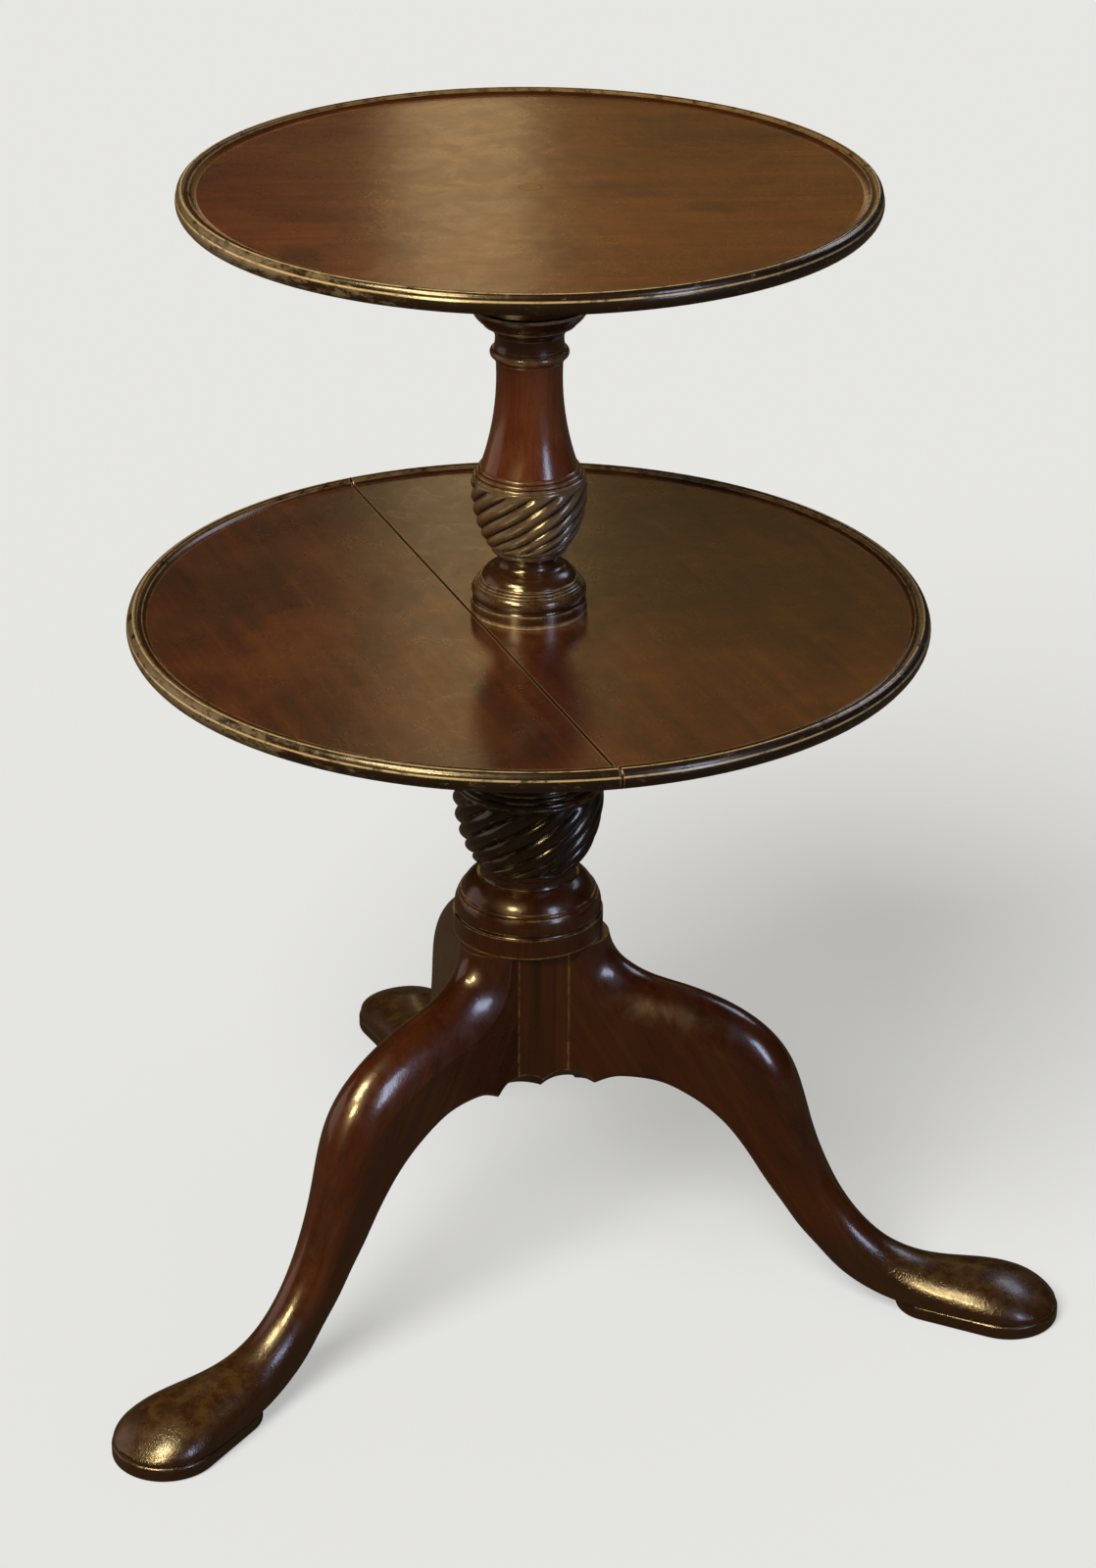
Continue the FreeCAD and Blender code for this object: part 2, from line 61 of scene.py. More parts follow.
def mahogany(name, turn, dark, middle, light, gloss, blur=0.07):
    """Old mahogany under shellac. The eye sees a red-brown ground with darker and lighter ribbons along
    the grain, short dark pores, grime and painted shade in every quirk, and arrises rubbed pale through
    the polish, the crests with a painted highlight too."""
    finish = bpy.data.materials.new(name)
    finish.use_nodes = True
    tree = finish.node_tree
    shader = tree.nodes["Principled BSDF"]
    place = add(tree, "TexCoord", {}, "Object")
    # the ribbons of interlocked grain are some 14 mm wide and run on for 300 mm
    ribbon = spread(tree, place, across=0.014, along=0.300, turn=turn, Detail=5.0, Roughness=0.6,
                    Distortion=0.4)
    # streaks of the growth rings, 2.5 mm apart
    streak = spread(tree, place, across=0.0025, along=0.110, turn=turn, Detail=3.0, Roughness=0.55)
    # open pores are 0.2 mm wide and 3 mm long, and are drawn 0.8 mm by 9 mm so that they still show
    pore = spread(tree, place, across=0.0008, along=0.009, turn=turn, Detail=2.0, Roughness=0.5)
    # the stain and the light of two centuries have shaded the wood in clouds a hand wide
    cloud = spread(tree, place, across=0.090, along=0.130, turn=turn, Detail=4.0, Roughness=0.55,
                   Distortion=0.6)
    ribbon_share, streak_share, cloud_share = 0.55, 0.25, 0.45
    tone = add(tree, "Math",
               {0: ribbon, 1: ribbon_share,
                2: add(tree, "Math", {0: streak, 1: streak_share}, operation="MULTIPLY")},
               operation="MULTIPLY_ADD")
    tone = add(tree, "Math", {0: cloud, 1: cloud_share, 2: tone}, operation="MULTIPLY_ADD")
    wood = add(tree, "Mix",
               {0: add(tree, "MapRange", {"Value": tone, "From Min": 0.40, "From Max": 0.66},
                       interpolation_type="SMOOTHSTEP"), 6: linear(dark), 7: linear(middle)}, 2,
               data_type="RGBA")
    wood = add(tree, "Mix",
               {0: add(tree, "MapRange", {"Value": tone, "From Min": 0.60, "From Max": 0.86},
                       interpolation_type="SMOOTHSTEP"), 6: wood, 7: linear(light)}, 2, data_type="RGBA")
    wood = add(tree, "Mix",
               {0: add(tree, "MapRange",
                       {"Value": pore, "From Min": 0.60, "From Max": 0.76, "To Max": 0.35},
                       interpolation_type="SMOOTHSTEP"), 6: wood, 7: linear("#140805")}, 2,
               data_type="RGBA")
    shader.inputs["IOR"].default_value = 1.53
    shader.inputs["Coat Weight"].default_value = gloss
    shader.inputs["Coat Roughness"].default_value = blur
    shader.inputs["Coat IOR"].default_value = 1.58
    return {"finish": finish, "tree": tree, "shader": shader, "place": place, "wood": wood,
            "pore": pore}


def grimed_and_shaded(m, colour, reach, deepest=0.9):
    """Dust and old polish that no cloth has reached, and painted shade, in the quirks and hollows."""
    tree = m["tree"]
    shade = add(tree, "AmbientOcclusion", {"Distance": reach}, "AO", only_local=True, samples=8)
    grime_and_shade = add(tree, "MapRange",
                {"Value": shade, "From Min": 0.55, "From Max": 0.98, "To Min": deepest, "To Max": 0.0},
                interpolation_type="SMOOTHSTEP")
    return add(tree, "Mix", {0: grime_and_shade, 6: colour, 7: linear("#0c0704")}, 2, data_type="RGBA")


def worn(m, colour, width, amount, shade="#9a7a58"):
    """Arrises where handling has gone through the colour: the bevelled normal leaves the true one
    there. The wear comes and goes every 11 mm."""
    tree = m["tree"]
    true = add(tree, "NewGeometry", {}, "Normal")
    eased = add(tree, "Bevel", {"Radius": width}, samples=6)
    lean = add(tree, "VectorMath", {0: true, 1: eased}, "Value", operation="DOT_PRODUCT")
    patchy = add(tree, "TexNoise", {"Vector": m["place"], "Scale": 1 / 0.011, "Detail": 4.0})
    edge = add(tree, "Math",
               {0: add(tree, "MapRange", {"Value": lean, "From Min": 0.995, "From Max": 0.93},
                       interpolation_type="SMOOTHSTEP"),
                1: add(tree, "MapRange", {"Value": patchy, "From Min": 0.40, "From Max": 0.66},
                       interpolation_type="SMOOTHSTEP")}, operation="MULTIPLY")
    return laid_over(tree, colour, shade, edge, amount)


def rubbed_and_highlit_crests(m, colour, reach, amount, shade, least=0.93, most=0.66):
    """Crests that the duster always meets, rubbed pale and with a painted highlight: seen from inside
    the wood they are where it is thin. The least and the most are the openness, inside the wood, where
    the paling starts and is full."""
    tree = m["tree"]
    thin = add(tree, "AmbientOcclusion", {"Distance": reach}, "AO", only_local=True,
               inside=True, samples=8)
    patchy = add(tree, "TexNoise",
                 {"Vector": m["place"], "Scale": 1 / 0.009, "Detail": 5.0, "Roughness": 0.7})
    crest = add(tree, "Math",
                {0: add(tree, "MapRange", {"Value": thin, "From Min": least, "From Max": most},
                        interpolation_type="SMOOTHSTEP"),
                 1: add(tree, "MapRange", {"Value": patchy, "From Min": 0.30, "From Max": 0.62},
                        interpolation_type="SMOOTHSTEP")}, operation="MULTIPLY")
    return laid_over(tree, colour, shade, crest, amount)


def polished(m, colour, smooth, dull, fine=None):
    """Puts the colour, the uneven sheen and the faint relief of the brushed and rubbed shellac on. The
    fine relief, where there is one, is a height and how many metres one unit of it stands for."""
    tree, shader = m["tree"], m["shader"]
    tree.links.new(colour, shader.inputs["Base Color"])
    # the sheen comes and goes in smears about 50 mm long
    smear = spread(tree, m["place"], across=0.030, along=0.050, Detail=5.0, Roughness=0.65,
                   Distortion=0.8)
    rough = add(tree, "MapRange",
                {"Value": smear, "From Min": 0.35, "From Max": 0.68, "To Min": smooth, "To Max": dull},
                interpolation_type="SMOOTHSTEP")
    tree.links.new(rough, shader.inputs["Roughness"])
    # the surface waves by a tenth of a millimetre over a finger's width, from the scraper, and the
    # polish has sunk a little into the pores
    wave_height, pore_depth = 0.00012, 0.00006
    wave = add(tree, "TexNoise", {"Vector": m["place"], "Scale": 1 / 0.022, "Detail": 2.0})
    lift = add(tree, "Bump", {"Height": wave, "Strength": 1.0, "Distance": wave_height})
    lift = add(tree, "Bump", {"Height": m["pore"], "Strength": 1.0, "Distance": -pore_depth,
                              "Normal": lift})
    if fine is not None:
        lift = add(tree, "Bump", {"Height": fine[0], "Strength": 1.0, "Distance": fine[1],
                                  "Normal": lift})
    tree.links.new(lift, shader.inputs["Normal"])
    tree.links.new(lift, shader.inputs["Coat Normal"])


def dress(names, finish):
    """Gives CAD nodes their finish."""
    for name in names:
        node = nodes[name]
        node.data.materials.clear()
        node.data.materials.append(finish)


# pale wood laid on the crests, for their rubbing and their painted highlight
rubbed_and_highlit_wood = "#8a7250"

pillar = mahogany("turned_mahogany_pillar", turn=(0.0, 0.0, 0.3), dark="#241106", middle="#3e1e0a",
                  light="#553012", gloss=0.9)
tree = pillar["tree"]
height = add(tree, "SeparateXYZ", {"Vector": pillar["place"]}, "Z")
# the urn, from 364 mm up, is the darkest part of the table
urn_share = add(tree, "MapRange", {"Value": height, "From Min": 0.360, "From Max": 0.368},
                interpolation_type="SMOOTHSTEP")
colour = laid_over(tree, pillar["wood"], "#130d07", urn_share, 0.80)
colour = rubbed_and_highlit_crests(pillar, colour, reach=0.003, amount=0.75, shade=rubbed_and_highlit_wood, least=0.80,
                       most=0.60)
colour = grimed_and_shaded(pillar, colour, reach=0.006)
colour = worn(pillar, colour, width=0.0016, amount=0.9, shade="#b0925f")
polished(pillar, colour, smooth=0.24, dull=0.42)
dress(["pillar"], pillar["finish"])


# The three cabriole legs. Each is sawn from one thick plank, carved to its knee, ankle and pad foot,
# and slid up into the block on a dovetail. Feet are kicked and mopped, so theirs is a crazed and
# scuffed polish, dark with floor wax.

def cabriole(name, bearing):
    """A leg's mahogany, with the grain running down and out from hip to foot."""
    grain_lean = math.radians(148)
    leg = mahogany("carved_mahogany_" + name, turn=(0.0, grain_lean, bearing), dark="#260e05",
                   middle="#3f1b07", light="#4f2b0c", gloss=0.9)
    tree, place = leg["tree"], leg["place"]
    height = add(tree, "SeparateXYZ", {"Vector": place}, "Z")
    foot = add(tree, "MapRange", {"Value": height, "From Min": 0.085, "From Max": 0.035},
               interpolation_type="SMOOTHSTEP")
    # the foot has gone dark and olive with floor wax, and its shellac is crazed into 2 mm scales
    colour = laid_over(tree, leg["wood"], "#2a1d0e", foot, 0.62)
    scale = add(tree, "TexVoronoi", {"Vector": place, "Scale": 1 / 0.002}, "Distance",
                feature="DISTANCE_TO_EDGE")
    crack = add(tree, "Math",
                {0: add(tree, "MapRange", {"Value": scale, "From Min": 0.12, "From Max": 0.0},
                        interpolation_type="SMOOTHSTEP"), 1: foot}, operation="MULTIPLY")
    colour = laid_over(tree, colour, "#170c06", crack, 0.35)
    # the tops of the feet are paler, in patches about 12 mm long: scuffs from shoes, with a painted
    # highlight
    normal = add(tree, "NewGeometry", {}, "Normal")
    up = add(tree, "SeparateXYZ", {"Vector": normal}, "Z")
    scuff_and_highlight = spread(tree, place, across=0.012, along=0.012, Detail=5.0, Roughness=0.7)
    scuff_and_highlight = add(tree, "Math",
                {0: add(tree, "MapRange", {"Value": scuff_and_highlight, "From Min": 0.40, "From Max": 0.66},
                        interpolation_type="SMOOTHSTEP"),
                 1: add(tree, "MapRange", {"Value": up, "From Min": 0.55, "From Max": 0.90},
                        interpolation_type="SMOOTHSTEP")}, operation="MULTIPLY")
    scuff_and_highlight = add(tree, "Math",
                {0: scuff_and_highlight,
                 1: add(tree, "MapRange", {"Value": height, "From Min": 0.060, "From Max": 0.040},
                        interpolation_type="SMOOTHSTEP")}, operation="MULTIPLY")
    colour = laid_over(tree, colour, "#6a5730", scuff_and_highlight, 0.32)
    colour = rubbed_and_highlit_crests(leg, colour, reach=0.003, amount=0.45, shade=rubbed_and_highlit_wood, least=0.76,
                           most=0.56)
    colour = worn(leg, colour, width=0.0016, amount=0.55)
    colour = grimed_and_shaded(leg, colour, reach=0.008)
    # fine dents a millimetre or two apart spread the feet's highlights
    dent = add(tree, "TexNoise", {"Vector": place, "Scale": 1 / 0.0018, "Detail": 2.0})
    dent_depth = 0.00009
    uneven = add(tree, "Math",
                 {0: crack, 1: -0.4, 2: add(tree, "Math", {0: dent, 1: foot}, operation="MULTIPLY")},
                 operation="MULTIPLY_ADD")
    leg["shader"].inputs["Specular IOR Level"].default_value = 0.8
    polished(leg, colour, smooth=0.22, dull=0.36, fine=(uneven, dent_depth))
    dress([name], leg["finish"])


cabriole("leg_back", math.radians(90))
cabriole("leg_front_left", math.radians(210))
cabriole("leg_front_right", math.radians(330))


# The spindle and the pivot pin. Plain turned pegs of a pale close-grained wood, left unstained and
# barely waxed. The spindle is hidden in the pillar, the lower tray and the upper column, and the pin's
# end shows as a pale disc in the middle of the top tray.

peg = mahogany("pale_turned_hardwood", turn=(0.0, 0.0, 0.0), dark="#4f371c", middle="#654829",
               light="#7d5f3b", gloss=0.5)
polished(peg, peg["wood"], smooth=0.40, dull=0.55)
dress(["lower_spindle", "upper_pivot_pin"], peg["finish"])


# The lower tray. Two wide boards jointed edge to edge, turned on the face plate as one dish with a
# moulded lip. The polish on top is clouded and scratched, and the glued joint has opened to a dark line.

def tray(name, heading, wood_tones, bloom, edge, roll, surface):
    """A tray board's mahogany, its grain along one heading in the board's plane. The bloom is how much
    of the polish has clouded, the edge is the tray's radius, the roll is the width of the lip's outer
    moulding, and the surface is the field's height. Gives the colour, and the relief in metres."""
    quarter = math.radians(90)
    m = mahogany(name, (quarter, 0.0, heading), *wood_tones, gloss=0.8, blur=0.14)
    tree, place = m["tree"], m["place"]
    flat = add(tree, "VectorMath", {0: place, 1: (1.0, 1.0, 0.0)}, operation="MULTIPLY")
    radius = add(tree, "VectorMath", {0: flat}, "Value", operation="LENGTH")
    # the lip starts 15 mm in from the edge
    lip = add(tree, "MapRange", {"Value": radius, "From Min": edge - 0.0150, "From Max": edge - 0.0115},
              interpolation_type="SMOOTHSTEP")
    # a fine mottle of dust in the shellac, its specks drawn 1.4 mm across so that they show
    speck = add(tree, "TexNoise",
                {"Vector": place, "Scale": 1 / 0.0014, "Detail": 2.0, "Roughness": 0.7})
    mottle = add(tree, "MapRange",
                 {"Value": speck, "From Min": 0.30, "From Max": 0.72, "To Min": 0.68, "To Max": 1.32},
                 interpolation_type="SMOOTHSTEP")
    colour = add(tree, "Mix", {0: 1.0, 6: m["wood"], 7: mottle}, 2, data_type="RGBA",
                 blend_type="MULTIPLY")
    # brown bloom, where drink and wax have clouded the shellac
    haze = spread(tree, place, across=0.090, along=0.120, turn=(0.0, 0.0, heading), Detail=3.0,
                  Roughness=0.5, Distortion=0.5)
    hazy = add(tree, "Math",
               {0: add(tree, "MapRange", {"Value": haze, "From Min": 0.44, "From Max": 0.68},
                       interpolation_type="SMOOTHSTEP"),
                1: add(tree, "Math", {0: 1.0, 1: lip}, operation="SUBTRACT")}, operation="MULTIPLY")
    colour = laid_over(tree, colour, "#553313", hazy, bloom)
    # dark stains and redder patches a hand or two wide, where the sun and wet glasses have been
    stain = spread(tree, place, across=0.150, along=0.110, turn=(0.0, 0.0, heading + 0.5), Detail=4.0,
                   Roughness=0.55, Distortion=0.9)
    dark_stain, warm_stain = 0.55, 0.40
    colour = add(tree, "Mix",
                 {0: add(tree, "MapRange",
                         {"Value": stain, "From Min": 0.52, "From Max": 0.66, "To Max": dark_stain},
                         interpolation_type="SMOOTHSTEP"), 6: colour, 7: linear("#1d0d06")}, 2,
                 data_type="RGBA")
    colour = add(tree, "Mix",
                 {0: add(tree, "MapRange",
                         {"Value": stain, "From Min": 0.44, "From Max": 0.30, "To Max": warm_stain},
                         interpolation_type="SMOOTHSTEP"), 6: colour, 7: linear("#5e3312")}, 2,
                 data_type="RGBA")
    # hairline scratches, up to 80 mm long, run two ways and only here and there, and are drawn a
    # millimetre wide so that they show
    here = add(tree, "TexNoise", {"Vector": place, "Scale": 1 / 0.070, "Detail": 2.0})
    first = spread(tree, place, across=0.0012, along=0.080, turn=(quarter, 0.0, heading + 0.7),
                   Detail=0.0)
    second = spread(tree, place, across=0.0012, along=0.060, turn=(quarter, 0.0, heading - 1.1),
                    Detail=0.0)
    scratch = add(tree, "Math",
                  {0: add(tree, "MapRange", {"Value": first, "From Min": 0.80, "From Max": 0.88},
                          interpolation_type="SMOOTHSTEP"),
                   1: add(tree, "MapRange", {"Value": here, "From Min": 0.52, "From Max": 0.62},
                          interpolation_type="SMOOTHSTEP")}, operation="MULTIPLY")
    other = add(tree, "Math",
                {0: add(tree, "MapRange", {"Value": second, "From Min": 0.80, "From Max": 0.88},
                        interpolation_type="SMOOTHSTEP"),
                 1: add(tree, "MapRange", {"Value": here, "From Min": 0.48, "From Max": 0.38},
                        interpolation_type="SMOOTHSTEP")}, operation="MULTIPLY")
    scratch = add(tree, "Math", {0: scratch, 1: other}, operation="MAXIMUM")
    # pale dents about 1.5 mm across, in some of the 22 mm squares of the polish
    square = {"Vector": place, "Scale": 1 / 0.022}
    pit = add(tree, "TexVoronoi", square, "Distance", voronoi_dimensions="2D")
    odd = add(tree, "TexVoronoi", square, "Color", voronoi_dimensions="2D")
    dent = add(tree, "Math",
               {0: add(tree, "MapRange", {"Value": pit, "From Min": 0.045, "From Max": 0.020},
                       interpolation_type="SMOOTHSTEP"),
                1: add(tree, "MapRange", {"Value": odd, "From Min": 0.60, "From Max": 0.64},
                       interpolation_type="SMOOTHSTEP")}, operation="MULTIPLY")
    mark = add(tree, "Math", {0: add(tree, "Math", {0: scratch, 1: dent}, operation="MAXIMUM"), 1: 0.17},
               operation="MULTIPLY")
    colour = add(tree, "Mix", {0: mark, 6: colour, 7: linear("#a8875a")}, 2, data_type="RGBA")
    # the lip: darkened all over, with painted shade in its quirk, and pale lines on its arrises, rubbed
    # to bare wood by hands and dusters and painted as highlights
    colour = laid_over(tree, colour, "#21150a", lip, 0.75)
    rubbed = spread(tree, place, across=0.012, along=0.012, Detail=5.0, Roughness=0.7)
    # each arris's radius, the half width of its line, and how pale it is
    for arris, width, pale in ((edge - 0.0152, 0.0006, 0.22), (edge - roll - 0.0038, 0.0008, 0.6),
                               (edge - roll, 0.0008, 0.7)):
        off = add(tree, "Math", {0: add(tree, "Math", {0: radius, 1: arris}, operation="SUBTRACT")},
                  operation="ABSOLUTE")
        highlight_line = add(tree, "Math",
                   {0: add(tree, "MapRange", {"Value": off, "From Min": width, "From Max": width * 0.3},
                           interpolation_type="SMOOTHSTEP"),
                    1: add(tree, "MapRange", {"Value": rubbed, "From Min": 0.30, "From Max": 0.56},
                           interpolation_type="SMOOTHSTEP")}, operation="MULTIPLY")
        colour = laid_over(tree, colour, "#8f7c60", highlight_line, pale)
    quirk_shade = add(tree, "Math",
                {0: add(tree, "Math", {0: radius, 1: edge - roll - 0.0008}, operation="SUBTRACT")},
                operation="ABSOLUTE")
    colour = add(tree, "Mix",
                 {0: add(tree, "MapRange",
                         {"Value": quirk_shade, "From Min": 0.0008, "From Max": 0.0003, "To Max": 0.8},
                         interpolation_type="SMOOTHSTEP"), 6: colour, 7: linear("#0e0805")}, 2,
                 data_type="RGBA")
    # the outer roll is darkened to near black, and is paled in patches some 16 mm long, most on the side
    # that faces left at rest: rubbed bare wood, and a painted reflection on that side
    outer = add(tree, "MapRange",
                {"Value": radius, "From Min": edge - roll * 0.85, "From Max": edge - roll * 0.55},
                interpolation_type="SMOOTHSTEP")
    colour = laid_over(tree, colour, "#1a1209", outer, 0.85)
    leftwards = (-0.959 / edge, 0.282 / edge, 0.0)
    left = add(tree, "VectorMath", {0: place, 1: leftwards}, "Value",
               operation="DOT_PRODUCT")
    patch = spread(tree, place, across=0.016, along=0.007, Detail=6.0, Roughness=0.75)
    bare_and_lit = add(tree, "Math",
               {0: add(tree, "MapRange", {"Value": left, "From Min": 0.2, "From Max": 0.9},
                       interpolation_type="SMOOTHSTEP"), 1: 0.20, 2: patch}, operation="MULTIPLY_ADD")
    bare_and_lit = add(tree, "Math",
               {0: add(tree, "MapRange", {"Value": bare_and_lit, "From Min": 0.56, "From Max": 0.70},
                       interpolation_type="SMOOTHSTEP"), 1: outer}, operation="MULTIPLY")
    colour = laid_over(tree, colour, "#857a6e", bare_and_lit, 0.45)
    # two fine pale lines run round outside, along the crest and on the fillet under it: painted
    # highlights, broken in places
    height = add(tree, "SeparateXYZ", {"Vector": place}, "Z")
    off = add(tree, "Math",
              {0: add(tree, "Math", {0: height, 1: surface - 0.0012}, operation="SUBTRACT")},
              operation="ABSOLUTE")
    fillet_highlight = add(tree, "Math",
                 {0: add(tree, "MapRange", {"Value": off, "From Min": 0.0010, "From Max": 0.0003},
                         interpolation_type="SMOOTHSTEP"),
                  1: add(tree, "MapRange",
                         {"Value": radius, "From Min": edge - 0.0018, "From Max": edge - 0.0012},
                         interpolation_type="SMOOTHSTEP")}, operation="MULTIPLY")
    crest = add(tree, "Math",
                {0: add(tree, "Math", {0: radius, 1: edge - roll * 0.62}, operation="SUBTRACT")},
                operation="ABSOLUTE")
    highlight_line = add(tree, "Math",
               {0: fillet_highlight,
                1: add(tree, "MapRange", {"Value": crest, "From Min": 0.0010, "From Max": 0.0002},
                       interpolation_type="SMOOTHSTEP")}, operation="MAXIMUM")
    highlight_line = add(tree, "Math",
               {0: highlight_line,
                1: add(tree, "MapRange", {"Value": rubbed, "From Min": 0.28, "From Max": 0.52},
                       interpolation_type="SMOOTHSTEP")}, operation="MULTIPLY")
    colour = laid_over(tree, colour, "#b5a68a", highlight_line, 0.85)
    # the dust stands 0.04 mm up in the shellac, and a mark is cut a few thousandths deep
    dust_rise, mark_depth = 0.00004, 0.00003
    relief = add(tree, "Math",
                 {0: mark, 1: -mark_depth,
                  2: add(tree, "Math", {0: speck, 1: dust_rise}, operation="MULTIPLY")},
                 operation="MULTIPLY_ADD")
    return m, colour, relief


lower_radius, lower_roll, lower_field = 0.3075, 0.0082, 0.5785
seam_heading, seam_offset = math.radians(4.4), 0.0451
for board in ("broad_board", "narrow_board"):
    m, colour, relief = tray("face_turned_mahogany_" + board, seam_heading,
                             ("#230c04", "#3c1907", "#522b0e"), bloom=0.30,
                             edge=lower_radius, roll=lower_roll, surface=lower_field)
    tree = m["tree"]
    # the glued joint runs 45 mm from the middle, and its edges have dried pale
    square_to_seam = (math.cos(seam_heading), math.sin(seam_heading), 0.0)
    aside = add(tree, "VectorMath", {0: m["place"], 1: square_to_seam}, "Value",
                operation="DOT_PRODUCT")
    aside = add(tree, "Math", {0: add(tree, "Math", {0: aside, 1: seam_offset}, operation="ADD")},
                operation="ABSOLUTE")
    colour = add(tree, "Mix",
                 {0: add(tree, "MapRange", {"Value": aside, "From Min": 0.0014, "From Max": 0.0007},
                         interpolation_type="SMOOTHSTEP"), 6: colour, 7: linear("#0e0603")}, 2,
                 data_type="RGBA")
    pale_side = add(tree, "Math", {0: add(tree, "Math", {0: aside, 1: 0.0014}, operation="SUBTRACT")},
                    operation="ABSOLUTE")
    colour = add(tree, "Mix",
                 {0: add(tree, "MapRange",
                         {"Value": pale_side, "From Min": 0.0006, "From Max": 0.0001, "To Max": 0.35},
                         interpolation_type="SMOOTHSTEP"), 6: colour, 7: linear("#a08052")}, 2,
                 data_type="RGBA")
    # the open joint is a groove 0.5 mm deep, drawn 2 mm wide, wider than it is, so that it shows
    groove_half_width, groove_depth = 0.0011, 0.0005
    relief = add(tree, "Math",
                 {0: add(tree, "MapRange",
                         {"Value": aside, "From Min": groove_half_width, "From Max": 0.0},
                         interpolation_type="SMOOTHSTEP"), 1: -groove_depth, 2: relief},
                 operation="MULTIPLY_ADD")
    polished(m, colour, smooth=0.26, dull=0.40, fine=(relief, 1.0))
    dress(["lower_tray_" + board], m["finish"])


# The upper column. Turned in one piece from its spreading base to the capital under the top tray, with
# the smaller reeded urn above the base. Its shaft is the reddest and cleanest wood on the table.

column = mahogany("turned_mahogany_column", turn=(0.0, 0.0, 1.1), dark="#441d10", middle="#61301a",
                  light="#78482c", gloss=0.9, blur=0.11)
tree = column["tree"]
height = add(tree, "SeparateXYZ", {"Vector": column["place"]}, "Z")
# below the shaft, from 690 mm down, the wood is olive brown with old wax, and the urn's reeds, from
# 630 mm up, are greyest, with dust and a painted sheen
waxed = add(tree, "MapRange", {"Value": height, "From Min": 0.694, "From Max": 0.686},
            interpolation_type="SMOOTHSTEP")
colour = laid_over(tree, column["wood"], "#23190d", waxed, 0.84)
reeds_dust_and_sheen = add(tree, "Math",
             {0: waxed,
              1: add(tree, "MapRange", {"Value": height, "From Min": 0.628, "From Max": 0.634},
                     interpolation_type="SMOOTHSTEP")}, operation="MULTIPLY")
colour = laid_over(tree, colour, "#625446", reeds_dust_and_sheen, 0.76)
# the capital, above 780 mm, is darkened: painted shade under the tray
tray_shade = add(tree, "MapRange", {"Value": height, "From Min": 0.772, "From Max": 0.80, "To Max": 0.80},
             interpolation_type="SMOOTHSTEP")
colour = add(tree, "Mix", {0: tray_shade, 6: colour, 7: linear("#1d0c05")}, 2, data_type="RGBA")
colour = rubbed_and_highlit_crests(column, colour, reach=0.005, amount=0.85, shade="#a8967e")
colour = worn(column, colour, width=0.0012, amount=0.8, shade="#a08458")
colour = grimed_and_shaded(column, colour, reach=0.007, deepest=1.0)
polished(column, colour, smooth=0.20, dull=0.36)
dress(["upper_column"], column["finish"])


# The upper tray. One wide board turned to a dish with the same lip as the lower one. It turns on the
# pivot pin, and its polish is thick and cloudy.

upper_radius, upper_roll, upper_field = 0.2587, 0.0061, 0.912
grain_heading = math.radians(78)
m, colour, relief = tray("face_turned_mahogany_upper", grain_heading,
                         ("#331507", "#4c220c", "#633614"), bloom=0.50,
                         edge=upper_radius, roll=upper_roll, surface=upper_field)
polished(m, colour, smooth=0.26, dull=0.40, fine=(relief, 1.0))
dress(["upper_tray"], m["finish"])


# The plain floor. It is matt and pale to the camera and a dark brown to the polish, which mirrored a
# darker room. It gives off part of its paleness itself, so that the lamps needn't be so strong.

floor_reach = 9.0
floor_shape = bmesh.new()
bmesh.ops.create_grid(floor_shape, x_segments=1, y_segments=1, size=floor_reach)
floor_mesh = bpy.data.meshes.new("floor")
floor_shape.to_mesh(floor_mesh)
floor_shape.free()
floor = bpy.data.objects.new("floor", floor_mesh)
bpy.context.scene.collection.objects.link(floor)
paint = bpy.data.materials.new("matt_pale_floor")
paint.use_nodes = True
tree, shader = paint.node_tree, paint.node_tree.nodes["Principled BSDF"]
seen = add(tree, "LightPath", {}, "Is Camera Ray")
own_light = 0.525
tree.links.new(add(tree, "Mix", {0: seen, 6: linear("#3c3226"), 7: linear("#8a8a89")}, 2,
                   data_type="RGBA"), shader.inputs["Base Color"])
tree.links.new(add(tree, "Math", {0: seen, 1: own_light}, operation="MULTIPLY"),
               shader.inputs["Emission Strength"])
shader.inputs["Emission Color"].default_value = linear("#e6e6e4")
shader.inputs["Roughness"].default_value = 0.9
shader.inputs["Specular IOR Level"].default_value = 0.0
floor_mesh.materials.append(paint)


# The lamps. Soft ones stand round the table and light it alone, because they would stain the floor. A
# broad even one lights the floor alone and casts the table's shadow on it.

table_only = bpy.data.collections.new("lit_by_the_near_lamps")
for node in nodes.values():
    table_only.objects.link(node)
floor_only = bpy.data.collections.new("lit_by_the_even_lamp")
floor_only.objects.link(floor)

heading = math.radians(-16.4)   # the camera stands this far round from the back foot's line


def hang(name, light, way, distance, lit):
    """Puts a lamp out along a way from the middle of the table, facing back, to light one collection.
    The way is given as the camera sees it: X to its right, Y away from it."""
    made = bpy.data.objects.new(name, light)
    bpy.context.scene.collection.objects.link(made)
    way.rotate(Matrix.Rotation(heading, 3, "Z"))
    made.location = Vector((0, 0, 0.45)) + way * distance
    made.rotation_mode = "QUATERNION"
    made.rotation_quaternion = way.to_track_quat("Z", "Y")
    made.light_linking.receiver_collection = lit


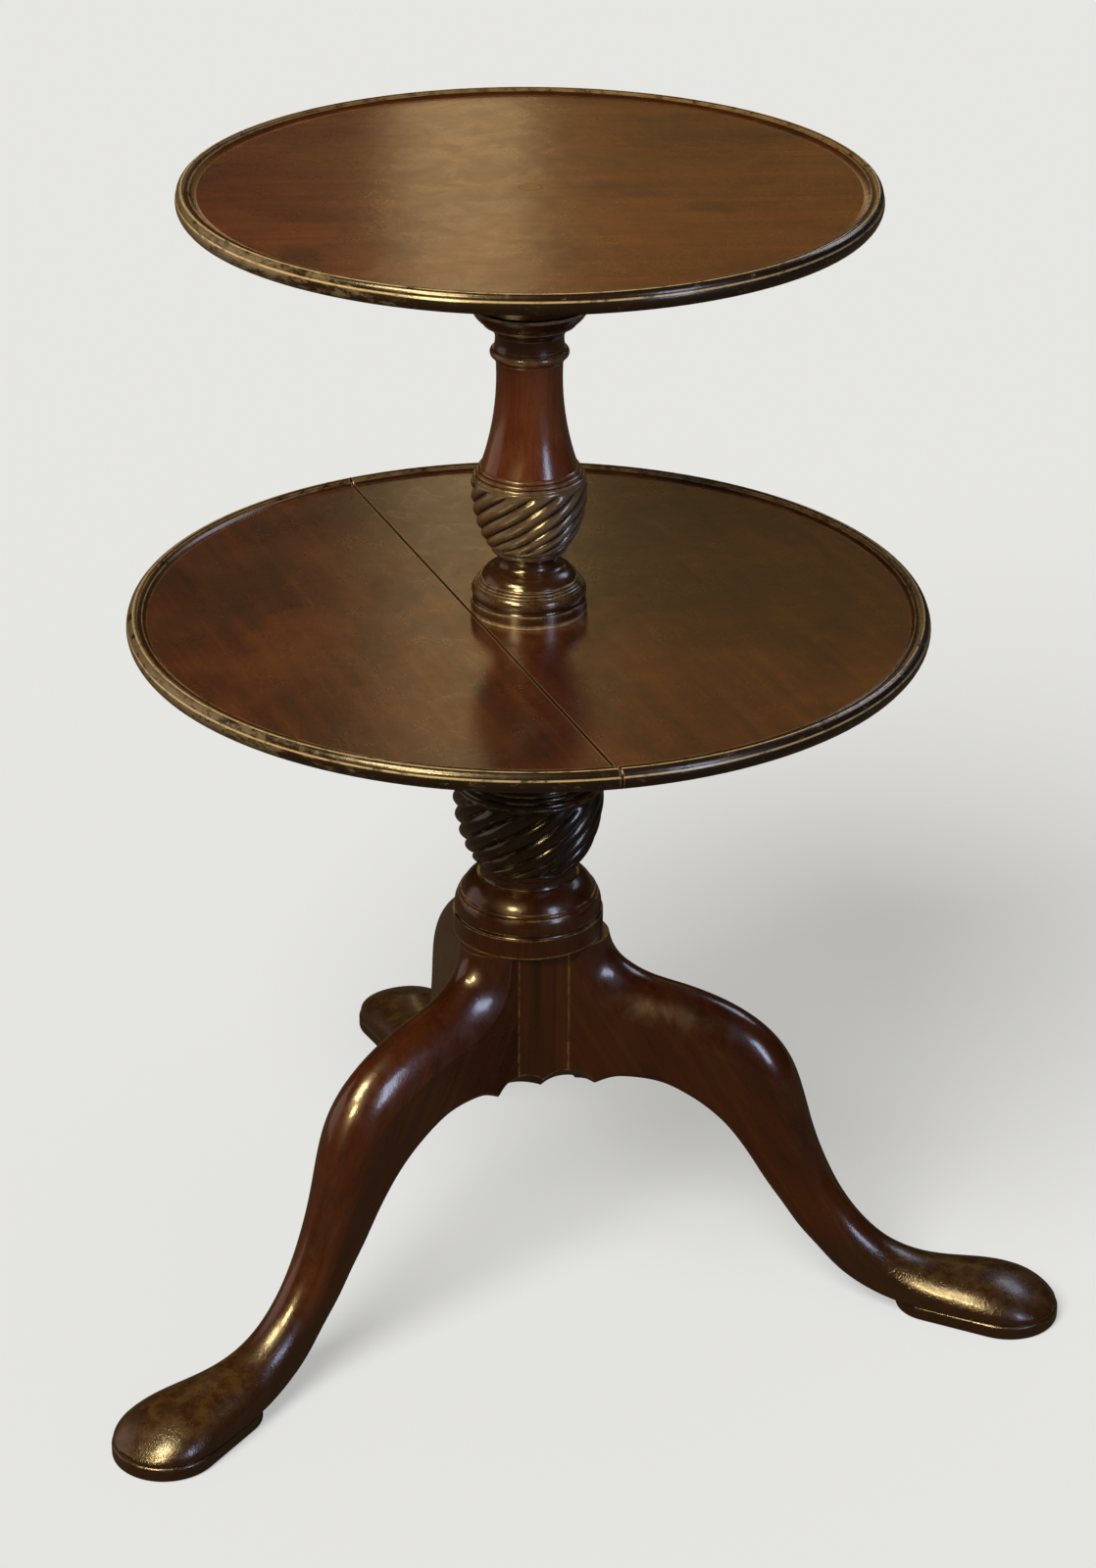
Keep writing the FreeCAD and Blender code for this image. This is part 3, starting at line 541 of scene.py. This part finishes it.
# name, degrees round from behind the table to the camera's right, degrees up, metres away, width and
# height in metres, colour, watts
for name, bearing, rise, distance, size, shade, watts in (
        ("warm_key", -138, 52, 2.4, (0.80, 0.80), "#ffe2a6", 44),
        ("warm_low", -152, 33, 2.6, (0.50, 0.50), "#ffdc98", 30),
        ("cool_window", 135, 20, 2.6, (0.5, 1.0), "#d0deff", 10),
        ("back_window", 51, 38, 2.8, (0.8, 0.8), "#dde6ff", 5),
        ("band_behind", -2.1, 24, 3.0, (0.20, 1.6), "#f4d196", 0.92),
        ("far_right_behind", 10, 27, 3.0, (1.1, 0.6), "#d9ac68", 0.70),
        ("far_left_behind", -14, 22, 3.0, (0.8, 0.9), "#cfa888", 0.25),
        ("left_wall", -78, 12, 3.0, (2.2, 1.8), "#d8c0b2", 8)):
    light = bpy.data.lights.new(name, "AREA")
    light.shape = "RECTANGLE"
    light.size, light.size_y = size
    light.color = linear(shade)[:3]
    light.energy = watts
    round_by, up_by = math.radians(bearing), math.radians(rise)
    hang(name, light, Vector((math.sin(round_by) * math.cos(up_by), math.cos(round_by) * math.cos(up_by),
                              math.sin(up_by))), distance, table_only)

even = bpy.data.lights.new("even_over_the_floor", "SUN")
even.energy = 5.3
even.angle = math.radians(34)
round_by, up_by = math.radians(-150), math.radians(46)
hang("even_over_the_floor", even, Vector((math.sin(round_by), math.cos(round_by), math.tan(up_by))), 0.0,
     floor_only)


# The room. It is a pale grey to the camera, warm and dim on the wood, and a dark olive brown in the
# polish, as the real polish mirrors its room.

world = bpy.data.worlds.new("soft_room")
bpy.context.scene.world = world
world.use_nodes = True
tree = world.node_tree
mirrored = add(tree, "LightPath", {}, "Is Glossy Ray")
seen = add(tree, "LightPath", {}, "Is Camera Ray")
room_level, camera_level = 0.30, 1.00
air = add(tree, "Mix", {0: mirrored, 6: linear("#f2ebdc"), 7: linear("#43351f")}, 2, data_type="RGBA")
air = add(tree, "Mix", {0: seen, 6: air, 7: linear("#e6e6e4")}, 2, data_type="RGBA")
level = add(tree, "Math", {0: seen, 1: camera_level - room_level, 2: room_level},
            operation="MULTIPLY_ADD")
tree.links.new(air, tree.nodes["Background"].inputs["Color"])
tree.links.new(level, tree.nodes["Background"].inputs["Strength"])


# The camera. It stands 2.8 m off and 1.8 m up and looks down at the table through a long lens, with
# the small turn and roll that fit the photograph.

eye = bpy.data.cameras.new("camera")
camera = bpy.data.objects.new("camera", eye)
bpy.context.scene.collection.objects.link(camera)
eye.sensor_width = 36.0
eye.lens = 90.445
eye.clip_start, eye.clip_end = 0.1, 60.0
camera_distance, camera_height = 2.7848, 1.7639
look_down, look_aside, roll = 0.44717, -0.00554, 0.00538
camera.matrix_world = (Matrix.Rotation(heading, 4, "Z")
                       @ Matrix.Translation((0.0, -camera_distance, camera_height))
                       @ Matrix.Rotation(look_aside, 4, "Z")
                       @ Matrix.Rotation(math.radians(90) - look_down, 4, "X")
                       @ Matrix.Rotation(roll, 4, "Z"))
bpy.context.scene.camera = camera
bpy.context.scene.view_settings.view_transform = "Standard"
